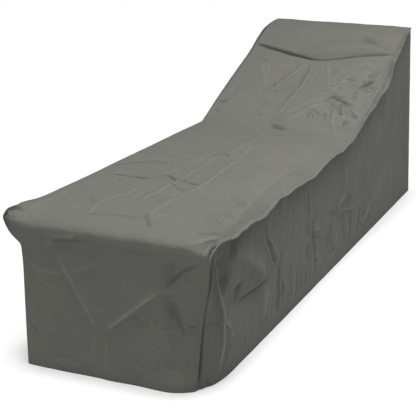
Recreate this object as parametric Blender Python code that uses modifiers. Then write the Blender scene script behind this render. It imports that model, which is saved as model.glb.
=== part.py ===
"""Fitted cover for a sun lounger: four panels of thin coated cloth, hollow and open underneath.

A strip runs from the front hem over the seat and up the sloped back rest. Two side panels hang from its
long edges, and a back panel closes the head end. Each panel is a grid of points, worked out from the
sizes below, that is given the thickness of the cloth on its inside.
"""
import bmesh
import bpy
import numpy as np

# Sizes in metres. x runs across the cover, y from the front hem to the head end, z up from the hem.
cloth = 0.002  # thickness of each panel
origin_x = -0.0075  # the middle of the cover's box, in the coordinates of the tables below
origin_y = 1.0277
rear_y = 2.080  # the upright wall at the head end
rear_foot_right = 0.307  # where the side panels' hems end
rear_foot_left = -0.303
strip_width = 0.62
left_reach = 0.06  # width of the band that bends down to the strip's left edge
waist = 0.010  # how far the side walls are drawn in at half height

# The seams.
seam_gap = 0.0004  # clearance where one panel is sewn to the next
seam_lip = 0.007  # how far the strip's edge stands out over the side panels
corner_room = 0.0016  # more clearance where the seams turn round the two front corners
corner_room_spread = 0.13
corner_reach = 0.13  # how far along a side panel the shape of its front seam carries

# The grids.
strip_inner_columns = 17
edge_crowding = 0.4  # how much closer the strip's columns stand near its edges
back_columns = 8

# The colour and sheen of the cloth.
cloth_colour = (0.215, 0.215, 0.195, 1.0)
cloth_roughness = 0.62

# The strip's cross sections, from the front hem to the rear edge. y, z: the middle of the strip.
# left and right x, y, z: its two edges. reach: width of the band that bends to the right edge.
# cells: grid cells up to the next section.
sections = (
    # y      z      left x   y      z      right x  y      z      reach  cells
    (-0.003, 0.000, -0.301, 0.000, 0.000, 0.258, 0.032, 0.000, 0.050, 2),  # front hem
    (0.000, 0.105, -0.302, 0.003, 0.105, 0.267, 0.032, 0.102, 0.055, 2),
    (0.003, 0.210, -0.302, 0.006, 0.210, 0.279, 0.031, 0.211, 0.060, 2),
    (0.006, 0.320, -0.302, 0.009, 0.320, 0.304, 0.026, 0.325, 0.070, 2),
    (0.008, 0.400, -0.304, 0.010, 0.385, 0.316, 0.020, 0.392, 0.080, 2),  # drawn in under the roll
    (-0.010, 0.445, -0.318, -0.010, 0.437, 0.321, 0.009, 0.418, 0.080, 1),
    (-0.013, 0.466, -0.337, -0.028, 0.486, 0.323, -0.003, 0.437, 0.080, 1),  # roll, both corner tips
    (0.008, 0.490, -0.332, 0.000, 0.508, 0.322, 0.014, 0.446, 0.090, 1),
    (0.040, 0.501, -0.318, 0.040, 0.508, 0.318, 0.045, 0.434, 0.100, 1),
    (0.090, 0.503, -0.306, 0.090, 0.502, 0.315, 0.090, 0.432, 0.110, 1),  # front of the seat
    (0.140, 0.500, -0.304, 0.140, 0.498, 0.314, 0.140, 0.440, 0.120, 3),
    (0.270, 0.495, -0.303, 0.270, 0.493, 0.312, 0.270, 0.422, 0.120, 1),
    (0.305, 0.493, -0.303, 0.305, 0.491, 0.314, 0.305, 0.432, 0.120, 4),
    (0.485, 0.485, -0.303, 0.485, 0.483, 0.311, 0.485, 0.407, 0.120, 2),
    (0.566, 0.482, -0.303, 0.566, 0.480, 0.314, 0.566, 0.426, 0.120, 5),
    (0.790, 0.472, -0.303, 0.790, 0.470, 0.311, 0.790, 0.418, 0.120, 5),
    (1.060, 0.461, -0.303, 1.060, 0.459, 0.311, 1.060, 0.413, 0.120, 4),
    (1.250, 0.452, -0.303, 1.250, 0.450, 0.311, 1.250, 0.414, 0.120, 1),
    (1.285, 0.451, -0.303, 1.285, 0.449, 0.312, 1.285, 0.418, 0.120, 1),  # foot of the back rest
    (1.322, 0.463, -0.303, 1.322, 0.461, 0.313, 1.322, 0.430, 0.120, 2),
    (1.414, 0.501, -0.303, 1.414, 0.499, 0.313, 1.414, 0.461, 0.120, 3),
    (1.560, 0.556, -0.303, 1.560, 0.554, 0.315, 1.560, 0.508, 0.120, 2),
    (1.640, 0.585, -0.303, 1.640, 0.583, 0.316, 1.640, 0.514, 0.120, 2),
    (1.720, 0.613, -0.303, 1.720, 0.611, 0.316, 1.720, 0.534, 0.120, 2),
    (1.780, 0.635, -0.303, 1.780, 0.633, 0.314, 1.780, 0.588, 0.110, 3),
    (1.860, 0.661, -0.303, 1.860, 0.659, 0.312, 1.860, 0.641, 0.100, 2),
    (1.945, 0.685, -0.303, 1.945, 0.683, 0.309, 1.945, 0.683, 0.090, 3),
    (2.050, 0.705, -0.303, 2.050, 0.704, 0.306, 2.050, 0.707, 0.080, 1),
    (2.077, 0.709, -0.303, 2.077, 0.709, 0.305, 2.077, 0.709, 0.080, 1),  # seam of the back panel
    (2.083, 0.710, -0.303, 2.083, 0.710, 0.305, 2.083, 0.710, 0.080, 0),  # rear top edge
)
corner_section = 6
first_seat_section = 10
rear_seam_section = 28

# The tuck across the head end: a trough under a soft lip, nearer the foot in the middle than at the edges.
tuck_line = (
    # x      y
    (-0.304, 1.816),
    (-0.185, 1.787),
    (-0.090, 1.760),
    (0.018, 1.735),
    (0.122, 1.775),
    (0.185, 1.799),
    (0.300, 1.810),
)
tuck_depth = 0.010
tuck_width = 0.035
lip_height = 0.014
lip_rise = 0.030  # run of cloth over which the lip rises out of the trough
lip_fade = 0.070
tuck_spread = 0.22  # how far along the strip its rows bend to follow the tuck

# The main folds. Each runs from a first point to a second, and the cloth rises (or sinks) beside it.
top_folds = (
    # from x  y      to x    y      width  height
    (-0.100, 0.100, -0.030, 0.800, 0.030, 0.007),
    (0.000, 0.150, -0.035, 1.000, 0.030, 0.008),
    (0.095, 0.100, 0.070, 0.750, 0.030, 0.008),
    (0.024, 0.862, 0.030, 1.168, 0.030, 0.008),
    (-0.010, 1.317, 0.131, 1.482, 0.035, 0.012),
    (-0.014, 1.298, 0.051, 1.277, 0.030, -0.010),
    (-0.021, 1.700, -0.104, 1.500, 0.030, 0.008),
    (0.016, 1.700, 0.000, 1.420, 0.030, 0.008),
    (0.138, 1.483, 0.235, 1.472, 0.030, -0.007),
)
front_folds = (
    # from x  z      to x    z      width  height
    (-0.168, 0.376, -0.050, 0.164, 0.028, 0.008),
    (-0.016, 0.164, 0.148, 0.309, 0.028, 0.010),
    (0.207, 0.420, 0.177, 0.236, 0.030, -0.010),
    (0.205, 0.300, 0.230, 0.200, 0.022, 0.006),
)
right_folds = (
    # from y  z      to y    z      width  height
    (0.080, 0.380, 0.152, 0.185, 0.028, 0.012),
    (0.152, 0.185, 0.115, 0.012, 0.028, 0.010),
    (0.169, 0.391, 0.461, 0.201, 0.040, 0.010),
    (0.208, 0.200, 0.495, 0.167, 0.035, -0.008),
    (0.559, 0.181, 0.559, 0.181, 0.060, -0.014),
    (0.901, 0.201, 0.901, 0.201, 0.060, -0.014),
    (1.189, 0.181, 1.293, 0.163, 0.060, -0.014),
    (1.245, 0.376, 1.188, 0.197, 0.035, 0.008),
)
left_folds = (
    # from y  z      to y    z      width  height
    (0.300, 0.400, 0.420, 0.020, 0.060, 0.008),
    (0.820, 0.380, 0.760, 0.020, 0.070, -0.008),
    (1.350, 0.400, 1.400, 0.020, 0.070, 0.008),
    (1.800, 0.500, 1.760, 0.020, 0.070, -0.008),
)
back_folds = (
    # from x  z      to x    z      width  height
    (-0.120, 0.600, -0.150, 0.020, 0.050, -0.007),
    (0.100, 0.620, 0.080, 0.020, 0.050, 0.006),
)

# The hem of each side panel, behind the foot of its corner seam.
right_hem = (
    # y      x
    (0.064, 0.266),
    (0.086, 0.282),
    (0.115, 0.291),
    (0.153, 0.297),
    (0.202, 0.300),
    (rear_y, rear_foot_right),
)
left_hem = (
    # y      x
    (0.200, -0.299),
    (rear_y, rear_foot_left),
)


def smooth_table(keys, values, at):
    """Read a table between its rows along a smooth curve that never passes its values."""
    step = np.diff(keys)[:, None]
    slope = np.diff(values, axis=0) / step
    product = slope[:-1] * slope[1:]
    tangent = np.vstack([slope[:1], np.zeros_like(product), slope[-1:]])
    np.divide(2.0 * product, slope[:-1] + slope[1:], out=tangent[1:-1], where=product > 0.0)
    row = np.clip(np.searchsorted(keys, at, side="right") - 1, 0, len(keys) - 2)
    share = ((at - keys[row]) / step[row, 0])[..., None]
    rise = values[row + 1] - values[row]
    start = tangent[row] * step[row]
    end = tangent[row + 1] * step[row]
    bend = 3.0 * rise - 2.0 * start - end
    return values[row] + share * start + share**2 * bend + share**3 * (start + end - 2.0 * rise)


def soft_step(low, high, at):
    """Rise smoothly from 0 at low to 1 at high."""
    share = np.clip((at - low) / (high - low), 0.0, 1.0)
    return share * share * (3.0 - 2.0 * share)


def bell(distance, width):
    """A soft hump, 1 in its middle."""
    return np.exp(-((distance / width) ** 2))


def fold_height(first, second, folds):
    """Add up the folds at each place of a panel, given by its two coordinates."""
    height = np.zeros_like(first)
    for first_a, second_a, first_b, second_b, width, rise in folds:
        run = np.array([first_b - first_a, second_b - second_a])
        along = (first - first_a) * run[0] + (second - second_a) * run[1]
        along = np.clip(along / max(run @ run, cloth**2), 0.0, 1.0)
        away = np.hypot(first - first_a - along * run[0], second - second_a - along * run[1])
        height = height + rise * bell(away, width)
    return height


section_table = np.array(sections)
section_shapes = section_table[:, :9]
section_steps = np.hypot(*np.diff(section_table[:, :2], axis=0).T)
section_at = np.concatenate([[0.0], np.cumsum(section_steps)])  # run of cloth from the hem to each section
corner_at = section_at[corner_section]
rear_seam_at = section_at[rear_seam_section]
tuck_table = np.array(tuck_line)
tuck_middle_y = tuck_table[:, 1].min()
tuck_at = np.interp(tuck_middle_y, section_shapes[first_seat_section:, 0], section_at[first_seat_section:])


def tuck_height(run):
    """The trough, which is deepest at the tuck, and the lip that stands over it."""
    past = run - tuck_at
    trough = -tuck_depth * bell(past, tuck_width)
    lip = soft_step(0.0, lip_rise, past) * (tuck_depth + lip_height) - tuck_depth
    lip = lip * bell(np.clip(past - lip_rise, 0.0, None), lip_fade)
    return np.where(past < 0.0, trough, lip)


def strip_surface(run, across):
    """The strip's outer face: run is the distance from the front hem, across goes from -1 to 1."""
    share = (across + 1.0) / 2.0
    straight = smooth_table(section_at, section_shapes, run)
    x = straight[..., 2] * (1.0 - share) + straight[..., 5] * share
    tuck_shift = smooth_table(tuck_table[:, 0], tuck_table[:, 1:], x)[..., 0] - tuck_middle_y
    follow = bell(run - tuck_at, tuck_spread) * soft_step(rear_seam_at, tuck_at, run)
    bent = smooth_table(section_at, section_shapes, run + tuck_shift * follow)
    y, z, left_x, left_y, left_z, right_x, right_y, right_z, reach = np.moveaxis(bent, -1, 0)
    x = left_x * (1.0 - share) + right_x * share
    left = np.clip(1.0 - (x - left_x) / left_reach, 0.0, 1.0) ** 2
    right = np.clip(1.0 - (right_x - x) / reach, 0.0, 1.0) ** 2
    y = y + (left_y - y) * left + (right_y - y) * right
    z = z + (left_z - z) * left + (right_z - z) * right

    free = soft_step(1.0, 0.86, np.abs(across))  # the seams hold the strip's edges
    on_top = soft_step(corner_at - 0.03, corner_at + 0.05, run)
    y = y - fold_height(x, z, front_folds) * free * (1.0 - on_top)
    z = z + (fold_height(x, y, top_folds) * on_top + tuck_height(run)) * free
    return np.stack([x, y, z], axis=-1)


def under_strip(run, across):
    """Points just below the strip's inner face, where a neighbour's edge is sewn on."""
    step = cloth
    along = strip_surface(run + step, across) - strip_surface(run - step, across)
    aside = strip_surface(run, across + step) - strip_surface(run, across - step)
    outward = np.cross(aside, along)
    outward = outward / np.linalg.norm(outward, axis=-1, keepdims=True)
    leaning = np.clip(-outward[..., :1] * np.sign(across)[..., None], 0.0, 1.0)
    room = seam_gap + corner_room * bell(run - corner_at, corner_room_spread)[..., None]
    return strip_surface(run, across) - outward * (cloth * (1.0 + leaning) + room)


def strip_runs():
    """The run of every row of the strip's grid."""
    rows = []
    for index, cells in enumerate(section_table[:-1, 9].astype(int)):
        rows.extend(np.linspace(section_at[index], section_at[index + 1], cells, endpoint=False))
    return np.array([*rows, section_at[-1]])


def strip_columns():
    """Places across the strip, closer together near both edges, with a column on each seam."""
    seam = 1.0 - 2.0 * seam_lip / strip_width
    even = np.linspace(-1.0, 1.0, strip_inner_columns)
    crowded = even + edge_crowding * np.sin(np.pi * even) / np.pi
    return np.array([-1.0, *(crowded * seam), 1.0])


def side_wall(runs, seam, hem_table, folds):
    """A side panel's outer face, from the hem up and from the front seam to the rear corner."""
    corner = np.searchsorted(runs, corner_at)
    rear = np.searchsorted(runs, rear_seam_at)
    front = under_strip(runs[: corner + 1], np.full(corner + 1, seam))
    top = under_strip(runs[corner : rear + 1], np.full(rear - corner + 1, seam))
    front[0, 2] = 0.0
    share = (top[:, 1] - top[0, 1]) / (top[-1, 1] - top[0, 1])
    hem_y = front[0, 1] + (rear_y - front[0, 1]) * share
    hem_keys = np.array([(front[0, 1], front[0, 0]), *hem_table])
    hem_x = smooth_table(hem_keys[:, 0], hem_keys[:, 1:], hem_y)[..., 0]
    hem = np.stack([hem_x, hem_y, np.zeros_like(hem_y)], axis=-1)

    up = (front[:, 2] / front[-1, 2])[:, None]
    wall = hem[None] * (1.0 - up[..., None]) + top[None] * up[..., None]
    bow = front - front[0] * (1.0 - up) - front[-1] * up
    wall = wall + bow[:, None] * bell(top[:, 1] - top[0, 1], corner_reach)[None, :, None]
    free = soft_step(0.0, 0.05, share) * soft_step(1.0, 0.96, share) * soft_step(1.0, 0.6, up)
    bulge = fold_height(wall[..., 1], wall[..., 2], folds) - waist * np.sin(np.pi * up)
    wall[..., 0] += np.sign(seam) * bulge * free
    return wall


def rear_wall(left_wall, right_wall, folds):
    """The back panel's outer face, between the rear edges of the two side panels."""
    inset = np.array([cloth + seam_gap, 0.0, 0.0])
    left = left_wall[:, -1] + inset
    right = right_wall[:, -1] - inset
    share = np.linspace(0.0, 1.0, back_columns)[None, :, None]
    wall = right[:, None] * (1.0 - share) + left[:, None] * share
    up = wall[..., 2] / wall[-1, 0, 2]
    free = np.sin(np.pi * share[..., 0]) * soft_step(1.0, 0.85, up)
    wall[..., 1] = rear_y + fold_height(wall[..., 0], wall[..., 2], folds) * free
    return wall


def cloth_material(name):
    material = bpy.data.materials.new(name)
    material.use_nodes = True
    shader = material.node_tree.nodes["Principled BSDF"]
    shader.inputs["Base Color"].default_value = cloth_colour
    shader.inputs["Roughness"].default_value = cloth_roughness
    shader.inputs["Metallic"].default_value = 0.0
    return material


def open_sheet(name, points, collection):
    """A sheet with no thickness: a flat grid whose vertices move to the given points."""
    rows, columns = points.shape[:2]
    grid = bmesh.new()
    bmesh.ops.create_grid(grid, x_segments=columns - 1, y_segments=rows - 1, size=1.0)
    for vertex in grid.verts:
        column = round((vertex.co.x + 1.0) / 2.0 * (columns - 1))
        row = round((vertex.co.y + 1.0) / 2.0 * (rows - 1))
        vertex.co = points[row, column]
    mesh = bpy.data.meshes.new(name)
    grid.to_mesh(mesh)
    grid.free()
    panel = bpy.data.objects.new(name, mesh)
    collection.objects.link(panel)
    return panel


def thicken(panel):
    """Give a sheet the cloth's thickness on its inside, with the whole foot of its hem level."""
    solidify = panel.modifiers.new("cloth", "SOLIDIFY")
    solidify.thickness = cloth
    solidify.offset = -1.0
    bpy.context.view_layer.update()
    evaluated = panel.evaluated_get(bpy.context.evaluated_depsgraph_get())
    thick = bpy.data.meshes.new_from_object(evaluated)
    for vertex in thick.vertices:
        if vertex.co.z < cloth:
            vertex.co.z = 0.0
    panel.modifiers.clear()
    panel.data = thick
    panel.data.shade_smooth()


def build():
    for item in list(bpy.data.objects):
        bpy.data.objects.remove(item)
    collection = bpy.data.collections.new("lounge_chair_cover")
    bpy.context.scene.collection.children.link(collection)

    runs = strip_runs()
    columns = strip_columns()
    seam = columns[-2]
    right_wall = side_wall(runs, seam, right_hem, right_folds)
    left_wall = side_wall(runs, -seam, left_hem, left_folds)
    panels = {
        "top_panel": strip_surface(runs[:, None], columns[None, :]),
        "side_panel_right": right_wall,
        "side_panel_left": left_wall[:, ::-1],
        "back_panel": rear_wall(left_wall, right_wall, back_folds),
    }
    origin = np.array([origin_x, origin_y, 0.0])
    for name, points in panels.items():
        panel = open_sheet(name, points - origin, collection)
        thicken(panel)
        panel.data.materials.append(cloth_material(name))


build()
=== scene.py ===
import bpy
import numpy as np
from mathutils import Matrix, Vector


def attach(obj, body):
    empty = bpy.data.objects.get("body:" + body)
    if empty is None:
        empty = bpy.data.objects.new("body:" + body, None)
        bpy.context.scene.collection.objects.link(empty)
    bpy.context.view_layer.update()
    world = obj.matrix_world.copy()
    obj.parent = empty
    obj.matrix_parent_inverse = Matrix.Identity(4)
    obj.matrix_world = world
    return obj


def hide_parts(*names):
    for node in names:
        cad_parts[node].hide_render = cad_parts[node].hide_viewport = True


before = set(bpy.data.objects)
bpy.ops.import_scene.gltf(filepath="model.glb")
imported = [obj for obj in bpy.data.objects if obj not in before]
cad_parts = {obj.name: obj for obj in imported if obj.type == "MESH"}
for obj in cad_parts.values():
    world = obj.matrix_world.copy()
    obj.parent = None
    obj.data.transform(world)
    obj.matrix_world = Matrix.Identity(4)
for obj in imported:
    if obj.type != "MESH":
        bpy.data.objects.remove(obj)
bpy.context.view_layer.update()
print("frame loaded")

# Sizes are in metres, and the tables of sections, lines and folds in millimetres. x runs across the cover, y
# from the front hem to the head end, z up from the hem. The origin moves them to the frame's own zero.
cloth = {
    "origin": (-0.0075, 1.0277, 0.0),
    "thickness": 0.0012,
    "seamGap": 0.0003,  # clearance where one panel is sewn under the next
    "seamLip": 0.007,  # how far the top panel's edge stands out over the sides
}

# From the photograph's perspective: the camera's place, turns in radians, lens and sensor in millimetres
view = {
    "place": (1.6807, -3.9241, 1.6975),
    "yaw": -0.4371,
    "pitch": -0.3337,
    "roll": -0.0172,
    "lens": 107.1,
    "sensor": 36.0,
    "farthest": 200.0,
}


def smoothTable(keys, values, at):
    # between two rows, the cubic through both whose slopes are harmonic means of the neighbouring slopes
    step = np.diff(keys)[:, None]
    slope = np.diff(values, axis=0) / step
    product = slope[:-1] * slope[1:]
    tangent = np.vstack([slope[:1], np.zeros_like(product), slope[-1:]])
    np.divide(2.0 * product, slope[:-1] + slope[1:], out=tangent[1:-1], where=product > 0.0)
    row = np.clip(np.searchsorted(keys, at, side="right") - 1, 0, len(keys) - 2)
    share = ((at - keys[row]) / step[row, 0])[..., None]
    rise = values[row + 1] - values[row]
    start, end = tangent[row] * step[row], tangent[row + 1] * step[row]
    bend = 3.0 * rise - 2.0 * start - end
    return values[row] + share * start + share**2 * bend + share**3 * (start + end - 2.0 * rise)


def softStep(low, high, at):
    # 3 s^2 - 2 s^3 of the share s of the way from low to high
    share = np.clip((at - low) / (high - low), 0.0, 1.0)
    return share * share * (3.0 - 2.0 * share)


def between(start, full, wane, end, at):
    # rises softly from 0 at start to 1 at full, and falls softly from 1 at wane to 0 at end
    return softStep(start, full, at) * softStep(end, wane, at)


def bell(distance, width):
    # e to the minus (distance / width) squared
    return np.exp(-((distance / width) ** 2))


def ridge(distance, height, middle, width):
    # height * a bell of the distance from the ridge's middle, where a groove's height is less than zero
    return height * bell(distance - middle, width)


def inMetres(table):
    # a table's millimetres / 1000
    return np.array(table) / 1000.0


def gridLines(length, cell, closeUps=(), blend=0.03, probes=6001):
    # An odd number of line places. Their spacing is the cell, or finer on each close-up's stretch, changing
    # softly over the blend. They stand where the running sum of 1 / spacing reaches even steps.
    at = np.linspace(0.0, length, probes)
    spacing = np.full_like(at, cell)
    for start, end, fine in closeUps:
        outside = np.maximum(np.maximum(start - at, at - end), 0.0)
        spacing = np.minimum(spacing, fine + (cell - fine) * softStep(0.0, blend, outside))
    count = np.concatenate([[0.0], np.cumsum(np.diff(at) / (0.5 * (spacing[1:] + spacing[:-1])))])
    return np.interp(np.linspace(0.0, count[-1], 2 * int(np.ceil(count[-1] / 2.0)) + 1), count, at)


def nearestOnLine(first, second, points):
    # For every grid point: the distance to a line of straight legs, less than zero on the line's left, then
    # how far along the line its nearest place is, and the line's length.
    line = np.reshape(points, (-1, 2))
    legs = np.diff(line, axis=0)
    lengths = np.linalg.norm(legs, axis=1)
    nearest = np.full_like(first, 1e9)
    along = np.zeros_like(first)
    for start, leg, length, before in zip(line[:-1], legs, lengths, np.cumsum(lengths) - lengths):
        share = ((first - start[0]) * leg[0] + (second - start[1]) * leg[1]) / length**2
        share = np.clip(share, 0.0, 1.0)
        away = np.hypot(first - start[0] - share * leg[0], second - start[1] - share * leg[1])
        closer = away < np.abs(nearest)
        onLeft = (first - start[0]) * leg[1] < (second - start[1]) * leg[0]
        along = np.where(closer, before + share * length, along)
        nearest = np.where(closer, np.where(onLeft, -away, away), nearest)
    return nearest, along, lengths.sum()


# Soft folds are rounded and creases sharp. Their tables' rows give half the width and the height, which is
# less than zero in a trough, and then the points of the line.
crease = {
    "strength": 1.7,  # a crease is its table's height times this
    "reach": 2.0,  # and ends this many of its widths from its line
    "rounding": 0.15,  # part of its width over which its top is rounded
    "fade": 0.3,  # part of a fold or crease over which it fades at either end
    "longestFade": 0.04,
    "lineReach": 0.010,  # over which a crease counts for the material's lines
    "lineWidth": 0.0048,
    "fullSize": 0.0030,  # height of a crease that is drawn in full
    "farthest": 0.05,  # a longer distance from the line is written as this
}


def endFade(along, total):
    # rises from 0 to 1 over a part of the line at its start, and falls back over the same part at its end
    fade = min(crease["fade"] * total, crease["longestFade"])
    before = crease["fade"] * fade
    return between(-before, fade, total - fade, total + before, along)


def foldHeight(first, second, folds):
    # each soft fold adds its height * a bell of the distance from its line * the fade towards its ends
    height = np.zeros_like(first)
    for fold in folds:
        width, rise, *points = inMetres(fold)
        nearest, along, total = nearestOnLine(first, second, points)
        height = height + rise * bell(nearest, width) * endFade(along, total)
    return height


def creaseHeight(first, second, creases):
    # Each crease adds its height * the fade towards its ends * the square of what is left of its reach. The
    # second result is for the material: the distance and the faded height of the crease that counts most
    # here, by its faded height * a bell of its distance.
    height = np.zeros_like(first)
    away = np.ones_like(first)
    size = np.zeros_like(first)
    most = np.zeros_like(first)
    for row in creases:
        width, rise, *points = inMetres(row)
        nearest, along, total = nearestOnLine(first, second, points)
        ends = endFade(along, total)
        rounded = crease["rounding"] * width
        left = 1.0 - (np.hypot(nearest, rounded) - rounded) / (crease["reach"] * width)
        height = height + crease["strength"] * rise * np.clip(left, 0.0, 1.0) ** 2 * ends
        counts = np.abs(rise) * ends * bell(nearest, crease["lineReach"])
        away = np.where(counts > most, nearest, away)
        size = np.where(counts > most, rise * ends, size)
        most = np.maximum(counts, most)
    away = np.clip(away, -crease["farthest"], crease["farthest"])
    return height, np.stack([away, size / crease["fullSize"]], axis=-1)


# Wrinkles laid out by chance, in millimetres: their half lengths, how far the middle stands aside as a part
# of that, the least height as a part of the largest, and their half widths.
chance = {"half": (8, 30), "aside": 0.25, "least": 0.4, "width": (4, 6)}


def chanceWrinkles(patches, seed):
    # short creases of random place, direction, length and height, each with one slight bend
    random = np.random.default_rng(seed)
    wrinkles = []
    for count, firstLow, firstHigh, secondLow, secondHigh, tallest in patches:
        for _ in range(count):
            middle = np.array([random.uniform(firstLow, firstHigh), random.uniform(secondLow, secondHigh)])
            heading = random.uniform(0.0, np.pi)
            half = random.uniform(*chance["half"])
            step = half * np.array([np.cos(heading), np.sin(heading)])
            bend = random.uniform(-chance["aside"], chance["aside"]) * np.array([-step[1], step[0]])
            rise = random.choice([-1.0, 1.0]) * random.uniform(chance["least"], 1.0) * tallest
            width = random.uniform(*chance["width"])
            wrinkles.append((width, rise, *(middle - step), *(middle + bend), *(middle + step)))
    return wrinkles


# The whole cloth's unevenness: how many waves, their shortest and longest length, and their height
crumple = {"seed": 7, "waves": 26, "shortest": 0.045, "longest": 0.160, "height": 0.0018}


def crumpleHeight(first, second, seed):
    # the sum of sine waves of random direction, length and phase, each as high as its length / the longest,
    # then divided by the square root of their number
    random = np.random.default_rng(crumple["seed"] + seed)
    height = np.zeros_like(first)
    for _ in range(crumple["waves"]):
        length = random.uniform(crumple["shortest"], crumple["longest"])
        heading = random.uniform(0.0, np.pi)
        phase = random.uniform(0.0, 2.0 * np.pi)
        along = first * np.cos(heading) + second * np.sin(heading)
        height = height + length / crumple["longest"] * np.sin(2.0 * np.pi * along / length + phase)
    return crumple["height"] * height / np.sqrt(crumple["waves"])


def outwardOf(points):
    # unit normals of a grid of points: the cross product of its column and row directions
    outward = np.cross(np.gradient(points, axis=1), np.gradient(points, axis=0))
    return outward / np.maximum(np.linalg.norm(outward, axis=-1, keepdims=True), 1e-12)


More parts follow.
